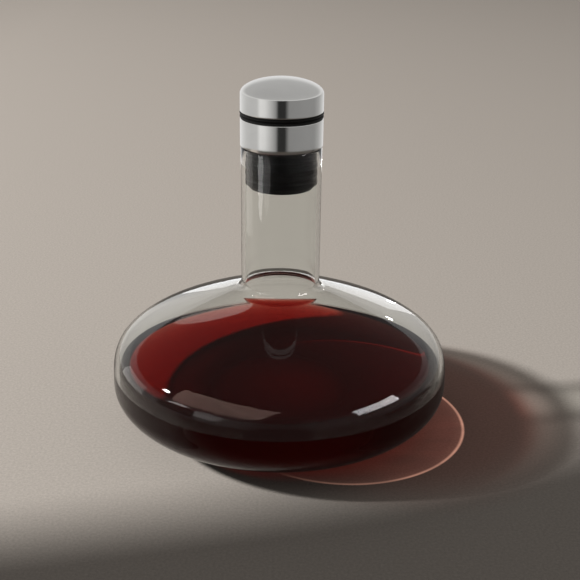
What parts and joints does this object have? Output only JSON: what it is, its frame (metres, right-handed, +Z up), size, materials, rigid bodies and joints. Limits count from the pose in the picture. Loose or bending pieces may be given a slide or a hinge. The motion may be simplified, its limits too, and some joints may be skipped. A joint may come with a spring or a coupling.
{
  "type": "wine decanter",
  "caption": "Low, wide clear glass decanter of red wine, closed by a breathing pourer stopper with a steel collar and a domed steel lid.",
  "frame": {"origin": "centre of the foot ring, on the surface that the decanter stands on", "axes": "+Z up along the neck; the object is turned about +Z, so +X and +Y are any two level directions"},
  "size_m": [0.21, 0.21, 0.221],
  "materials": {
    "clear_glass": "polished",
    "red_wine": "gloss",
    "polished_steel": "polished",
    "tube_steel": "satin",
    "black_silicone": "satin",
    "black_plastic": "satin"
  },
  "bodies": {
    "carafe": {"carafe_glass": "clear_glass", "wine": "red_wine"},
    "stopper": {"collar_shell": "polished_steel", "pourer_core": "black_plastic", "ribbed_sleeve": "black_silicone", "bottle_seat": "black_silicone", "strainer_plate": "black_plastic", "aerator_spreader": "black_plastic", "vent_tube": "tube_steel"},
    "lid": {"lid_shell": "polished_steel", "lid_plug": "black_plastic", "lid_seal_ring": "black_silicone", "plug_o_ring": "black_silicone"}
  },
  "joints": [
    {"name": "stopper_lift", "type": "slide", "parent": "carafe", "child": "stopper", "axis": [0, 0, 1], "range_m": [0, 0.045]},
    {"name": "lid_lift", "type": "slide", "parent": "stopper", "child": "lid", "axis": [0, 0, 1], "range_m": [0, 0.03]}
  ]
}
